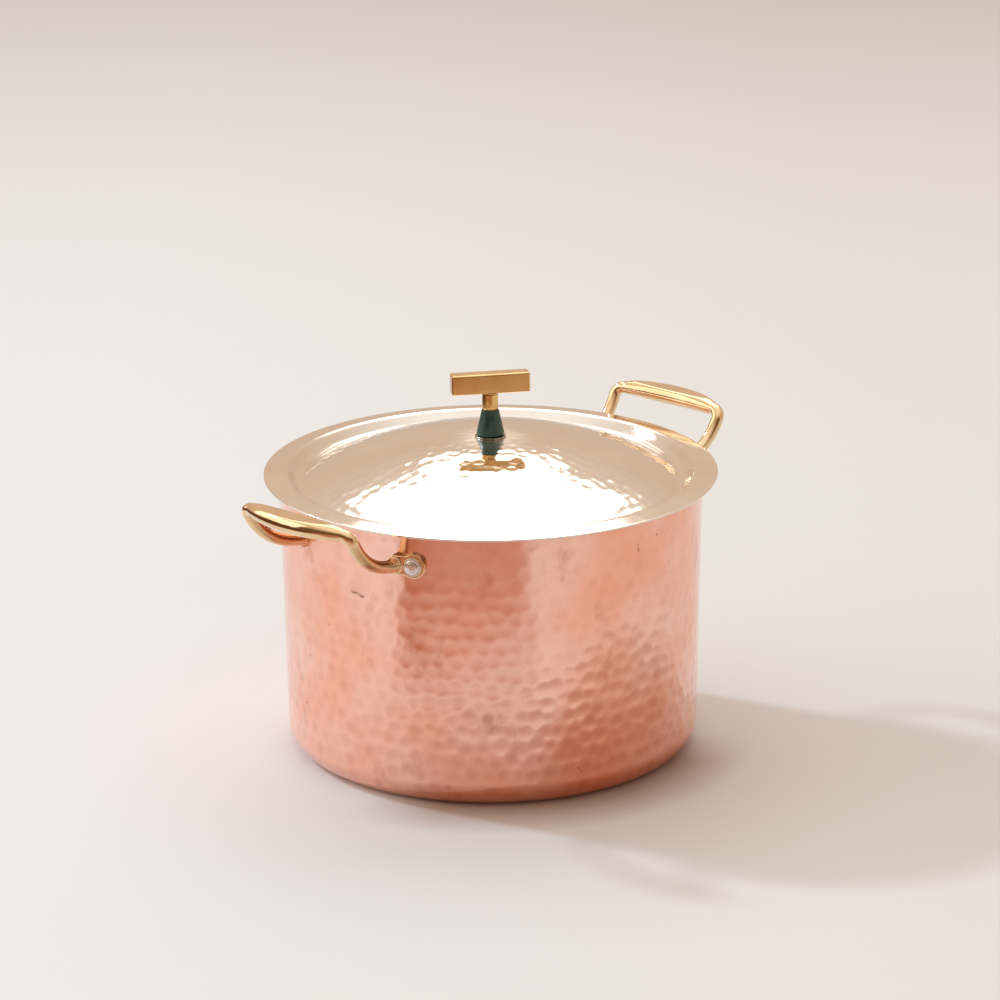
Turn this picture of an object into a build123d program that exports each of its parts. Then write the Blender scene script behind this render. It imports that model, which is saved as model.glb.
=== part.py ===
"""Lidded copper stockpot: a three-ply pot body with two riveted bronze loop handles,
and a domed steel lid that lifts off by a brass T-bar knob on a green resin cone.

Millimetres, +Z up. The origin is the middle of the base, on the surface the pot stands on.
The two handles lie along X. The lid sits on the rim and lifts straight up.
"""
from build123d import *

import os
from math import asin, atan2, cos, radians, sin, sqrt, tan

os.makedirs("parts", exist_ok=True)

# Pot body, measured on the copper outside
rim_radius = 130.0
rim_height = 174.0
wall_draft = 1.1
heel_radius = 16.0
copper_thickness = 0.8
aluminium_thickness = 1.0
steel_thickness = 0.5

# Lid, pressed from one sheet
lid_sheet = 1.2
lid_seat_gap = 0.3
flange_overhang = 9.2
flange_slope = 7.5
lid_wall_clearance = 1.2
lid_step_lean = 42.0
lid_step_depth = 5.8
groove_width = 4.0
lid_bend_radius = 4.0
dome_rise = 20.0
dome_flat_radius = 10.0

# Knob stack on the middle of the lid
knob_ring_radius = 9.4
knob_ring_thickness = 1.1
cone_foot_radius = 8.8
cone_top_radius = 5.2
cone_height = 16.4
cone_foot_rounding = 1.6
neck_radius = 4.9
neck_height = 10.6
neck_edge = 0.4
tenon_radius = 3.2
tenon_length = 7.0
bar_length = 48.4
bar_width = 9.6
bar_height = 12.4
bar_rounding = 0.9
bar_turn = -37.0

# Screw that clamps the knob through the lid
screw_radius = 3.0
screw_engagement = 7.0
screw_head_radius = 5.2
screw_head_height = 3.0
screw_slot_width = 1.3
screw_slot_depth = 1.3
washer_radius = 7.5
washer_thickness = 1.2
hole_clearance = 0.3
thread_clearance = 0.05

# Handles, each one casting with a grip, two legs and two riveted pads
handle_drop = 20.7
pad_thickness = 3.2
pad_end_radius = 7.6
pad_tail_height = 12.0
pad_tail_margin = 2.4
pad_edge = 0.8
pad_fit = 0.05
rivet_spread = 22.0
leg_rivet_gap = 0.3
leg_foot_radius = 4.6
leg_flare = 6.0
leg_radius = 3.9
leg_bend = 44.0
leg_slope = 62.0
leg_splay = 6.0
corner_bend = 6.0
grip_bow = 5.0
grip_width = 16.0
grip_height = 10.8
grip_stations = (-1, -0.75, -0.4, 0, 0.4, 0.75, 1)

# Rivets
rivet_radius = 2.7
rivet_fit = 0.1
rivet_flange_radius = 5.6
rivet_flange_height = 0.9
rivet_crown_radius = 4.2
rivet_crown_height = 1.3
rivet_inner_radius = 4.9
rivet_inner_height = 1.6

# Places that follow from the sizes above
wall_thickness = copper_thickness + aluminium_thickness + steel_thickness
draft = radians(wall_draft)
mouth_radius = rim_radius - wall_thickness / cos(draft)
flange_underside = rim_height + lid_seat_gap
flange_top = flange_underside + lid_sheet / cos(radians(flange_slope))
apex_top = flange_top + dome_rise
apex_underside = apex_top - lid_sheet
cone_foot = apex_top + knob_ring_thickness
cone_top = cone_foot + cone_height
bar_foot = cone_top + neck_height
handle_level = rim_height - handle_drop
screw_hole_radius = screw_radius + hole_clearance


def wall_radius(height, inset=0.0):
    """Radius of the tapered wall at a height, at a depth below the copper's outer face."""
    return rim_radius - (rim_height - height) * tan(draft) - inset / cos(draft)


seat_radius = wall_radius(handle_level)


def rivet_plane(angle):
    """Plane on the copper's outer face at a rivet: its normal points straight out of the wall."""
    outward = Vector(cos(radians(angle)), sin(radians(angle)), 0)
    return Plane(
        origin=outward * seat_radius + Vector(0, 0, handle_level),
        x_dir=(-outward.Y, outward.X, 0),
        z_dir=outward,
    )


left_rivet_angles = {"front": 180 + rivet_spread, "rear": 180 - rivet_spread}
right_rivet_angles = {"front": -rivet_spread, "rear": rivet_spread}
rivet_planes = [rivet_plane(a) for a in (*left_rivet_angles.values(), *right_rivet_angles.values())]


def save(part, name):
    """Label a finished piece and write its file."""
    part.label = name
    export_step(part, f"parts/{name}.step")


# The three bonded sheets of the pot body, each a cup inside the last
def cup_outline(inset):
    """Closed outline of everything inside the wall at a depth, with the rounded heel."""
    with BuildLine() as outline:
        Polyline(
            (0, inset),
            (wall_radius(inset, inset), inset),
            (wall_radius(rim_height, inset), rim_height),
            (0, rim_height),
            close=True,
        )
        heel = outline.vertices().filter_by(lambda v: v.Y < rim_height / 2).sort_by(Axis.X)[-1]
        fillet(heel, heel_radius - inset)
    return outline.edges()


def build_sheet(name, outer_inset, inner_inset):
    """One sheet of the wall and base, with the rivet holes punched through it."""
    outside = cup_outline(outer_inset)
    inside = cup_outline(inner_inset)
    with BuildPart() as sheet:
        with BuildSketch(Plane.XZ):
            make_face(outside)
            make_face(inside, mode=Mode.SUBTRACT)
        revolve(axis=Axis.Z)
        with BuildSketch(*rivet_planes):
            Circle(rivet_radius + rivet_fit)
        extrude(amount=2 * wall_thickness, both=True, mode=Mode.SUBTRACT)
    save(sheet.part, name)


build_sheet("copper_shell", 0, copper_thickness)
build_sheet("aluminium_core", copper_thickness, copper_thickness + aluminium_thickness)
build_sheet("steel_lining", copper_thickness + aluminium_thickness, wall_thickness)

# A loop handle, cast in one piece, drawn on +X and turned round for the other side
leg_to_rivet = leg_foot_radius + leg_rivet_gap + rivet_flange_radius
pad_tail_length = leg_to_rivet + pad_tail_margin
leg_side = seat_radius * sin(radians(rivet_spread) - leg_to_rivet / seat_radius)
leg_foot = Vector(sqrt(seat_radius**2 - leg_side**2) + pad_thickness, leg_side, handle_level)
leg_climb = radians(leg_slope)
leg_out = Vector(cos(radians(leg_splay)), sin(radians(leg_splay)), 0)
leg_across = Vector(-leg_out.Y, leg_out.X, 0)
leg_direction = leg_out * cos(leg_climb) + Vector(0, 0, sin(leg_climb))
leg_top = leg_foot + (leg_out * sin(leg_climb) + Vector(0, 0, 1 - cos(leg_climb))) * leg_bend
grip_end = leg_top + (leg_direction - leg_across) * corner_bend


def grip_section(share):
    """Plane and radii of the grip, from -1 at one end of it to 1 at the other."""
    fullness = cos(share * radians(90))
    place = Plane(
        origin=(grip_end.X + grip_bow * (1 - share**2), share * grip_end.Y, grip_end.Z),
        x_dir=(grip_end.Y, -2 * grip_bow * share, 0),
        z_dir=(-2 * grip_bow * share, grip_end.Y, 0),
    )
    across = leg_radius + (grip_width / 2 - leg_radius) * fullness
    deep = leg_radius + (grip_height / 2 - leg_radius) * fullness
    return place, across, deep


with BuildPart() as wall_cone:
    with BuildSketch(Plane.XZ):
        with BuildLine():
            Polyline(
                (0, 0),
                (wall_radius(0) + pad_fit, 0),
                (wall_radius(2 * rim_height) + pad_fit, 2 * rim_height),
                (0, 2 * rim_height),
                close=True,
            )
        make_face()
    revolve(axis=Axis.Z)

with BuildPart() as handle:
    pad_plane = rivet_plane(rivet_spread).offset(pad_thickness)
    with BuildSketch(pad_plane):
        with Locations((-pad_tail_length / 2, 0)):
            Rectangle(pad_tail_length, pad_tail_height)
        Circle(pad_end_radius)
    extrude(amount=-2 * pad_thickness)
    pad_front = handle.faces().sort_by_distance(pad_plane.origin)[0]
    fillet(pad_front.edges(), pad_edge)
    foot_plane = Plane(origin=leg_foot, x_dir=leg_across, z_dir=leg_out)
    with BuildSketch(foot_plane.offset(-2 * pad_thickness)):
        Circle(leg_foot_radius)
    extrude(amount=2 * pad_thickness)
    add(wall_cone.part, mode=Mode.SUBTRACT)
    with BuildSketch(foot_plane):
        Circle(leg_foot_radius)
    with BuildSketch(foot_plane.offset(leg_flare)):
        Circle(leg_radius)
    loft()
    with BuildSketch(foot_plane):
        Circle(leg_radius)
    bend_centre = leg_foot + Vector(0, 0, leg_bend)
    revolve(axis=Axis(bend_centre, -leg_across), revolution_arc=leg_slope)
    with BuildSketch(Plane(origin=leg_top, x_dir=leg_across, z_dir=leg_direction)):
        Circle(leg_radius)
    corner_centre = leg_top - leg_across * corner_bend
    revolve(axis=Axis(corner_centre, leg_across.cross(leg_direction)), revolution_arc=90)
    with Locations(grip_end):
        Sphere(leg_radius)
    with BuildSketch(pad_plane):
        Circle(rivet_radius + rivet_fit)
    extrude(amount=-3 * pad_thickness, mode=Mode.SUBTRACT)
    mirror(about=Plane.XZ)
    for share in grip_stations:
        place, across, deep = grip_section(share)
        with BuildSketch(place):
            Ellipse(across, deep)
    loft()
save(handle.part, "right_handle")
save(handle.part.rotate(Axis.Z, 180), "left_handle")


# Rivets, hammered over outside the pad and headed inside the lining
def cap_point(foot_radius, height):
    """Halfway point on the arc of a low dome: its rise and its distance from the axis."""
    dome = (foot_radius**2 + height**2) / (2 * height)
    half = asin(foot_radius / dome) / 2
    return height - dome * (1 - cos(half)), dome * sin(half)


def build_rivet(name, angle):
    """Rivet along the wall's normal, its seats following the pad and the curved lining."""
    place = rivet_plane(angle)
    inner_sag = rivet_inner_radius**2 / (2 * mouth_radius) + rivet_inner_radius * tan(draft)
    inner_seat = -(wall_thickness / cos(draft) + inner_sag)
    crown_seat = pad_thickness + rivet_flange_height
    inner_rise, inner_reach = cap_point(rivet_inner_radius, rivet_inner_height)
    crown_rise, crown_reach = cap_point(rivet_crown_radius, rivet_crown_height)
    with BuildPart() as rivet:
        with BuildSketch(Plane(origin=place.origin, x_dir=place.z_dir, z_dir=place.x_dir)):
            with BuildLine():
                ThreePointArc(
                    (inner_seat - rivet_inner_height, 0),
                    (inner_seat - inner_rise, inner_reach),
                    (inner_seat, rivet_inner_radius),
                )
                Polyline(
                    (inner_seat, rivet_inner_radius),
                    (inner_seat, rivet_radius),
                    (pad_thickness, rivet_radius),
                    (pad_thickness, rivet_flange_radius),
                    (crown_seat, rivet_flange_radius - rivet_flange_height / 2),
                    (crown_seat, rivet_crown_radius),
                )
                ThreePointArc(
                    (crown_seat, rivet_crown_radius),
                    (crown_seat + crown_rise, crown_reach),
                    (crown_seat + rivet_crown_height, 0),
                )
                Line(
                    (crown_seat + rivet_crown_height, 0),
                    (inner_seat - rivet_inner_height, 0),
                )
            make_face()
        revolve(axis=Axis(place.origin, place.z_dir))
    save(rivet.part, name)


for end, angle in left_rivet_angles.items():
    build_rivet(f"left_handle_{end}_rivet", angle)
for end, angle in right_rivet_angles.items():
    build_rivet(f"right_handle_{end}_rivet", angle)

# Lid: a flange that slopes down outwards over the rim, a soft cove down inside the mouth, and a dome
step_top = mouth_radius - lid_wall_clearance - lid_sheet
flange_fall = tan(radians(flange_slope))
step_level = flange_top + (rim_radius - step_top) * flange_fall
groove_level = flange_top - lid_step_depth
step_foot = step_top - (step_level - groove_level) * tan(radians(lid_step_lean))
groove_inner = step_foot - groove_width
flange_radius = rim_radius + flange_overhang
flange_edge_level = flange_top - flange_overhang * flange_fall
dome_base_slope = 2 * atan2(apex_top - groove_level, groove_inner - dome_flat_radius)
cove_room = groove_width / (tan(radians(45 - lid_step_lean / 2)) + tan(dome_base_slope / 2))
dome_rim_rise, dome_rim_reach = cap_point(groove_inner - dome_flat_radius, apex_top - groove_level)
with BuildLine() as lid_section:
    Polyline(
        (flange_radius, flange_edge_level),
        (step_top, step_level),
        (step_foot, groove_level),
        (groove_inner, groove_level),
    )
    ThreePointArc(
        (groove_inner, groove_level),
        (dome_flat_radius + dome_rim_reach, groove_level + dome_rim_rise),
        (dome_flat_radius, apex_top),
    )
    Line((dome_flat_radius, apex_top), (screw_hole_radius, apex_top))
    bends = lid_section.vertices().filter_by(lambda v: groove_inner - 1 < v.X < flange_radius - 1)
    fillet(bends, min(lid_bend_radius, 0.95 * cove_room))
    offset(amount=lid_sheet, side=Side.LEFT, closed=True)
with BuildPart() as lid_shell:
    with BuildSketch(Plane.XZ):
        make_face(lid_section.edges())
    revolve(axis=Axis.Z)
save(lid_shell.part, "lid_shell")

# Knob: a steel ring, a turned resin cone, a turned brass neck and a square brass bar
with BuildPart() as knob_ring:
    with BuildSketch(Plane.XY.offset(apex_top)):
        Circle(knob_ring_radius)
        Circle(screw_hole_radius, mode=Mode.SUBTRACT)
    extrude(amount=knob_ring_thickness)
    outer_edges = knob_ring.edges().filter_by(GeomType.CIRCLE).sort_by(SortBy.RADIUS)[-2:]
    fillet(outer_edges, knob_ring_thickness / 4)
save(knob_ring.part, "knob_ring")

with BuildPart() as knob_cone:
    with BuildSketch(Plane.XZ):
        with BuildLine():
            Polyline(
                (screw_hole_radius, cone_foot),
                (cone_foot_radius, cone_foot),
                (cone_top_radius, cone_top),
                (screw_hole_radius, cone_top),
                close=True,
            )
        make_face()
    revolve(axis=Axis.Z)
    foot_edge = knob_cone.edges().filter_by(GeomType.CIRCLE).sort_by(SortBy.RADIUS)[-1]
    fillet(foot_edge, cone_foot_rounding)
save(knob_cone.part, "knob_cone")

with BuildPart() as knob_neck:
    with BuildSketch(Plane.XY.offset(cone_top)):
        Circle(neck_radius)
    extrude(amount=neck_height)
    chamfer(knob_neck.edges().filter_by(GeomType.CIRCLE), neck_edge)
    with BuildSketch(Plane.XY.offset(bar_foot)):
        Circle(tenon_radius)
    extrude(amount=tenon_length)
    with BuildSketch(Plane.XY.offset(cone_top)):
        Circle(screw_radius + thread_clearance)
    extrude(amount=screw_engagement + 1, mode=Mode.SUBTRACT)
save(knob_neck.part, "knob_neck")

bar_direction = (cos(radians(bar_turn)), sin(radians(bar_turn)), 0)
with BuildPart() as knob_bar:
    with BuildSketch(Plane(origin=(0, 0, bar_foot), x_dir=bar_direction, z_dir=(0, 0, 1))):
        Rectangle(bar_length, bar_width)
    extrude(amount=bar_height)
    fillet(knob_bar.edges(), bar_rounding)
    with BuildSketch(Plane.XY.offset(bar_foot)):
        Circle(tenon_radius + thread_clearance)
    extrude(amount=tenon_length + thread_clearance, mode=Mode.SUBTRACT)
save(knob_bar.part, "knob_bar")

# Fixing under the lid: a washer and a slotted screw up through the cone into the neck
with BuildPart() as lid_washer:
    with BuildSketch(Plane.XY.offset(apex_underside)):
        Circle(washer_radius)
        Circle(screw_hole_radius, mode=Mode.SUBTRACT)
    extrude(amount=-washer_thickness)
save(lid_washer.part, "lid_washer")

screw_seat = apex_underside - washer_thickness
with BuildPart() as lid_screw:
    with BuildSketch(Plane.XY.offset(screw_seat)):
        Circle(screw_radius)
    extrude(amount=cone_top + screw_engagement - screw_seat)
    with BuildSketch(Plane.XY.offset(screw_seat)):
        Circle(screw_head_radius)
    extrude(amount=-screw_head_height)
    rim_edge = lid_screw.edges().filter_by(GeomType.CIRCLE).group_by(Axis.Z)[0]
    fillet(rim_edge, screw_head_height / 3)
    with BuildSketch(Plane.XY.offset(screw_seat - screw_head_height)):
        Rectangle(2 * screw_head_radius, screw_slot_width)
    extrude(amount=screw_slot_depth, mode=Mode.SUBTRACT)
save(lid_screw.part, "lid_screw")
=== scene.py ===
"""Looks of the lidded copper stockpot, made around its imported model.

Metres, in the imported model's frame: +Z up, the pot stands on Z = 0 and its handles lie along X.
"""
from math import atan2, ceil, cos, exp, hypot, log, pi, radians, sin, sqrt, tan
from random import Random

import bmesh
import bpy
from mathutils import Matrix, Vector, noise
from mathutils.kdtree import KDTree


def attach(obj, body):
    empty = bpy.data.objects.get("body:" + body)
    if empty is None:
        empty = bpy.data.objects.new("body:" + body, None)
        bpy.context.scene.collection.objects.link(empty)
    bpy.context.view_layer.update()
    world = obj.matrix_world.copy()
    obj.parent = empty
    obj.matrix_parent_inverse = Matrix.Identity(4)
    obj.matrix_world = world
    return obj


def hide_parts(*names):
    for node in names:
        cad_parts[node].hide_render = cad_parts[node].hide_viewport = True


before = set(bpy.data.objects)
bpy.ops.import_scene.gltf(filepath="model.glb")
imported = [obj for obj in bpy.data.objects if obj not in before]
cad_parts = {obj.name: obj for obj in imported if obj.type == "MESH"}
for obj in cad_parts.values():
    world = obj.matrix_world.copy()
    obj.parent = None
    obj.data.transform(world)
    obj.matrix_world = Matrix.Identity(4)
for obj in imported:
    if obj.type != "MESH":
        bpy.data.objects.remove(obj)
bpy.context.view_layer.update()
scene = bpy.context.scene

# Camera: a long lens about eighteen degrees above the level, off to the left of the pot's front.
# Directions for the lamps and the paper are given as the camera sees them: right, away and up.
view_turn = radians(-47.5)
camera_distance = 2.632
camera_height = 1.0005
camera_pitch = radians(17.82)
camera_yaw = radians(0.12)
camera_roll = radians(-0.45)
focal_pixels = 4500
frame_pixels = 1000
sensor_width = 36.0
farthest_seen = 50.0


def seen(right, away, up=0.0):
    """Point or direction in the model's frame, from one given as the camera sees it."""
    return Vector((
        right * cos(view_turn) - away * sin(view_turn),
        right * sin(view_turn) + away * cos(view_turn),
        up,
    ))


camera_data = bpy.data.cameras.new("camera")
camera = bpy.data.objects.new("camera", camera_data)
scene.collection.objects.link(camera)
camera_data.sensor_width = sensor_width
camera_data.lens = sensor_width * focal_pixels / frame_pixels
camera_data.clip_end = farthest_seen
look = seen(sin(camera_yaw) * cos(camera_pitch), cos(camera_yaw) * cos(camera_pitch), -sin(camera_pitch))
side = seen(cos(camera_yaw), -sin(camera_yaw))
lift = side.cross(look)
rolled_side = side * cos(camera_roll) + lift * sin(camera_roll)
rolled_lift = lift * cos(camera_roll) - side * sin(camera_roll)
turn = Matrix((rolled_side, rolled_lift, -look)).transposed()
camera.matrix_world = Matrix.Translation(seen(0, -camera_distance, camera_height)) @ turn.to_4x4()
scene.camera = camera
scene.view_settings.view_transform = "Standard"


# Studio: a wide sheet of pale paper with a cool sunlike lamp from the left, a window high behind the
# pot, a smaller one below it and a wide one on the left. The paper is painted darker away from the
# middle: painted shade where the light falls off.
def new_material(name, **values):
    """Material with one Principled shader, its sockets set from the values given."""
    material = bpy.data.materials.new(name)
    material.use_nodes = True
    tree = material.node_tree
    tree.nodes.clear()
    shader = tree.nodes.new("ShaderNodeBsdfPrincipled")
    output = tree.nodes.new("ShaderNodeOutputMaterial")
    tree.links.new(shader.outputs["BSDF"], output.inputs["Surface"])
    for key, value in values.items():
        shader.inputs[key.replace("_", " ")].default_value = value
    return material, tree, shader


def add_node(tree, kind, links=(), **values):
    """Node of a kind with its attributes and sockets set and (socket, source) pairs linked in."""
    node = tree.nodes.new(kind)
    for key, value in values.items():
        if hasattr(node, key):
            setattr(node, key, value)
        else:
            node.inputs[key.replace("_", " ")].default_value = value
    for socket, source in links:
        tree.links.new(source, node.inputs[socket])
    return node


def add_ramp(tree, source, *stops):
    """Colours through (position, colour) stops, picked by a value."""
    node = add_node(tree, "ShaderNodeValToRGB", [("Fac", source)])
    elements = node.color_ramp.elements
    while len(elements) < len(stops):
        elements.new(0.5)
    for element, (position, colour) in zip(elements, stops):
        element.position = position
        element.color = (*colour, 1)
    return node.outputs["Color"]


def add_range(tree, source, start, end, low, high):
    """Number from low to high as a value goes from start to end, held beyond them."""
    node = add_node(tree, "ShaderNodeMapRange", [("Value", source)])
    for socket, value in (("From Min", start), ("From Max", end), ("To Min", low), ("To Max", high)):
        node.inputs[socket].default_value = value
    return node.outputs["Result"]


def add_maths(tree, operation, *sources):
    """Sum, product or other result of values, each a number or a socket."""
    node = add_node(tree, "ShaderNodeMath", operation=operation)
    for socket, source in zip(node.inputs, sources):
        if isinstance(source, (int, float)):
            socket.default_value = source
        else:
            tree.links.new(source, socket)
    return node.outputs["Value"]


def object_place(tree, scale=(1, 1, 1), turned_by=0.0):
    """Object coordinates, turned round Z and stretched by a scale."""
    place = add_node(tree, "ShaderNodeTexCoord")
    mapping = add_node(tree, "ShaderNodeMapping", [("Vector", place.outputs["Object"])])
    mapping.inputs["Rotation"].default_value = (0, 0, turned_by)
    mapping.inputs["Scale"].default_value = scale
    return mapping.outputs["Vector"]


def add_noise(tree, place, scale, detail=2.0, roughness=0.5):
    """Soft noise from 0 to 1 at a place."""
    node = add_node(tree, "ShaderNodeTexNoise", [("Vector", place)])
    node.inputs["Scale"].default_value = scale
    node.inputs["Detail"].default_value = detail
    node.inputs["Roughness"].default_value = roughness
    return node.outputs["Fac"]


def add_bump(tree, shader, height, distance, strength=1.0):
    """Relief on a shader from a height between 0 and 1, so many metres deep."""
    bump = add_node(tree, "ShaderNodeBump", [("Height", height)])
    bump.inputs["Distance"].default_value = distance
    bump.inputs["Strength"].default_value = strength
    tree.links.new(bump.outputs["Normal"], shader.inputs["Normal"])


def colour_by(tree, shader, source, *stops):
    """Gives a shader its base colour through (position, colour) stops, picked by a value."""
    tree.links.new(add_ramp(tree, source, *stops), shader.inputs["Base Color"])


def roughness_by(tree, shader, source, smoothest, roughest, start=0.3, end=0.7):
    """Gives a shader its roughness between two limits, as a value goes from start to end."""
    tree.links.new(add_range(tree, source, start, end, smoothest, roughest), shader.inputs["Roughness"])


def tinted(tree, colour, tint):
    """Colour multiplied by a tint."""
    node = add_node(tree, "ShaderNodeVectorMath", [(0, colour), (1, tint)], operation="MULTIPLY")
    return node.outputs[0]


def length_of(tree, place):
    """Distance of a place from the origin."""
    return add_node(tree, "ShaderNodeVectorMath", [(0, place)], operation="LENGTH").outputs["Value"]


def grey(share):
    """Grey colour of a brightness."""
    return share, share, share


lamp_target = Vector((0, 0, 0.1))


def lit_by(name, size, place, power, colour, shape="RECTANGLE", depth=None):
    """Soft lamp at a place, turned to face the pot."""
    data = bpy.data.lights.new(name, "AREA")
    data.shape = shape
    data.size = size
    if depth:
        data.size_y = depth
    data.energy = power
    data.color = colour
    lamp = bpy.data.objects.new(name, data)
    scene.collection.objects.link(lamp)
    aim = lamp_target - place
    lamp.matrix_world = Matrix.Translation(place) @ aim.to_track_quat("-Z", "Y").to_matrix().to_4x4()
    return lamp


floor_half = 6.0
paper_front = -1.6
paper_back = 2.4
paper_left = -2.7
paper_right = 0.3
foot_shade_start = 0.128
foot_shade_end = 0.165
floor_mesh = bmesh.new()
bmesh.ops.create_grid(floor_mesh, x_segments=4, y_segments=4, size=floor_half)
floor_data = bpy.data.meshes.new("studio_floor")
floor_mesh.to_mesh(floor_data)
floor_mesh.free()
floor = bpy.data.objects.new("studio_floor", floor_data)
scene.collection.objects.link(floor)
paper, tree, shader = new_material("pale_paper", Roughness=0.9)
place = object_place(tree, turned_by=-view_turn)
split = add_node(tree, "ShaderNodeSeparateXYZ", [(0, place)])
away = add_range(tree, split.outputs["Y"], paper_front, paper_back, 0, 1)
# Painted shade: the paper darkens towards the front and the back as the light falls off.
paper_tone_with_falloff_shade = add_ramp(
    tree, away,
    (0, (0.62, 0.58, 0.56)), (0.30, (0.815, 0.79, 0.795)), (0.517, (0.75, 0.735, 0.74)),
    (1, (0.64, 0.583, 0.548)),
)
across = add_range(tree, split.outputs["X"], paper_left, paper_right, 0, 1)
# Painted shade across the paper: darker far to the left, a little darker and warmer to the right.
painted_side_shade = add_ramp(
    tree, across,
    (0.1, (0.55, 0.54, 0.53)), (0.55, grey(1)), (0.8, grey(1)), (1, (0.96, 0.935, 0.90)),
)
distance = length_of(tree, place)
around = add_node(tree, "ShaderNodeTexGradient", [("Vector", place)], gradient_type="RADIAL")
# Painted contact shadow: the paper is darkened brown in a ring round the pot's foot, from a little left of
# the front round to the right.
foot_shade_side = add_ramp(
    tree, around.outputs["Fac"], (0.15, grey(0)), (0.21, grey(1)), (0.44, grey(1)), (0.5, grey(0)),
)
near_foot = add_range(tree, distance, foot_shade_start, foot_shade_end, 1, 0)
foot_shade = add_maths(tree, "MULTIPLY", foot_shade_side, near_foot)
foot_tone = add_ramp(tree, foot_shade, (0, grey(1)), (1, (0.62, 0.48, 0.41)))
toned = tinted(tree, tinted(tree, paper_tone_with_falloff_shade, painted_side_shade), foot_tone)
tree.links.new(toned, shader.inputs["Base Color"])

# Painted reflection of a room floor: shiny pieces see brown boards painted in some directions where the
# camera sees paper. A direction round the pot goes from 0 to 1, with a quarter towards the camera and
# less to its left.
near_side = add_ramp(
    tree, around.outputs["Fac"],
    (0.119, grey(0)), (0.137, grey(1)), (0.19, grey(0.75)), (0.285, grey(0.7)), (0.312, grey(0)),
)
# Painted shadow in reflection: near the pot's foot, from the front round to the right, shiny pieces see the
# floor brown as the pot's contact shadow.
low_side = add_ramp(
    tree, around.outputs["Fac"],
    (0.13, grey(0)), (0.20, grey(0.30)), (0.34, grey(0.54)), (0.45, grey(0.46)), (0.52, grey(0)),
)
far_side = add_ramp(
    tree, around.outputs["Fac"],
    (0, grey(1)), (0.30, grey(1)), (0.34, grey(0)), (0.80, grey(0)), (0.84, grey(1)),
)
# Painted reflections that only shiny pieces see: brown a little way out in front, and dark brown far off.
near_painted_reflection = add_maths(tree, "MULTIPLY", near_side, add_range(tree, distance, 0.26, 0.50, 0, 1))
reflected_painted_foot_shadow = add_maths(tree, "MULTIPLY", low_side, add_range(tree, distance, 0.22, 0.33, 1, 0))
far_painted_reflection = add_maths(tree, "MULTIPLY", far_side, add_range(tree, distance, 0.61, 0.66, 0, 1))
ray = add_node(tree, "ShaderNodeLightPath")
painted_reflection_share = add_maths(tree, "MAXIMUM", near_painted_reflection, add_maths(tree, "MAXIMUM", reflected_painted_foot_shadow, far_painted_reflection))
shown = add_maths(tree, "MULTIPLY", painted_reflection_share, ray.outputs["Is Glossy Ray"])
# Colours of the painted reflection, darkest far off to the left and behind.
painted_reflection_tone = add_ramp(
    tree, around.outputs["Fac"],
    (0, (0.12, 0.055, 0.03)), (0.09, (0.12, 0.055, 0.03)), (0.115, (0.45, 0.20, 0.115)),
    (0.25, (0.50, 0.23, 0.14)), (0.80, (0.50, 0.23, 0.14)), (0.84, (0.12, 0.055, 0.03)),
)
painted_reflection_floor = add_node(tree, "ShaderNodeBsdfDiffuse", [("Color", painted_reflection_tone)])
both = add_node(
    tree, "ShaderNodeMixShader",
    [("Fac", shown), (1, shader.outputs["BSDF"]), (2, painted_reflection_floor.outputs["BSDF"])],
)
tree.links.new(both.outputs["Shader"], tree.nodes["Material Output"].inputs["Surface"])
floor_data.materials.append(paper)

# Lamps: the sun throws the shadow to the right. The three windows light the rest, and are what the
# lid and the copper mirror.
sun_way = seen(-0.701, 0.382, 0.602)
sunlight = bpy.data.lights.new("sunlight", "SUN")
sunlight.energy = 1.2
sunlight.angle = radians(5.0)
sunlight.color = (0.62, 0.83, 1.0)
sun = bpy.data.objects.new("sunlight", sunlight)
scene.collection.objects.link(sun)
sun.matrix_world = sun_way.to_track_quat("Z", "Y").to_matrix().to_4x4()
window_colour = (1.0, 0.99, 0.975)
window_distance = 2.6
high_place = seen(0, 0.462, 0.887) * window_distance
low_place = seen(0, 0.749, 0.663) * window_distance
left_place = seen(-0.905, 0.05, 0.42) * window_distance
lit_by("window_lamp", 2.3, high_place, 16.8, window_colour, depth=1.64)
lit_by("low_window", 0.96, low_place, 3.0, window_colour, shape="ELLIPSE", depth=0.87)
lit_by("left_window", 2.42, left_place, 14.3, window_colour, depth=1.44)

# Room all round: bright overhead, tan behind the pot and dark brown low down before it, as shiny
# pieces see it. Dull surfaces get a plain warm fill from it instead.
room_turn = radians(30)
room_foot = -0.2
world = bpy.data.worlds.new("room")
scene.world = world
world.use_nodes = True
tree = world.node_tree
way = add_node(tree, "ShaderNodeTexCoord")
turned_way = add_node(tree, "ShaderNodeMapping", [("Vector", way.outputs["Generated"])])
turned_way.inputs["Rotation"].default_value = (0, 0, -view_turn + room_turn)
split = add_node(tree, "ShaderNodeSeparateXYZ", [(0, turned_way.outputs["Vector"])])
height = add_range(tree, split.outputs["Z"], room_foot, 1, 0, 1)
behind = add_ramp(
    tree, height, (0.1, (0.66, 0.50, 0.38)), (0.45, (0.73, 0.545, 0.405)), (0.62, (0.78, 0.62, 0.49)),
    (0.80, (0.90, 0.80, 0.70)), (0.90, (1.10, 1.04, 0.97)),
)
before = add_ramp(
    tree, height, (0.1, (0.18, 0.09, 0.05)), (0.45, (0.16, 0.085, 0.045)), (0.62, (0.60, 0.46, 0.34)),
    (0.78, (0.92, 0.84, 0.75)), (0.88, (1.10, 1.04, 0.97)),
)
side_share = add_range(tree, split.outputs["Y"], -0.35, -0.05, 1, 0)
room = add_node(tree, "ShaderNodeMix", [("Factor", side_share)], data_type="RGBA")
tree.links.new(behind, room.inputs[6])
tree.links.new(before, room.inputs[7])
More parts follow.
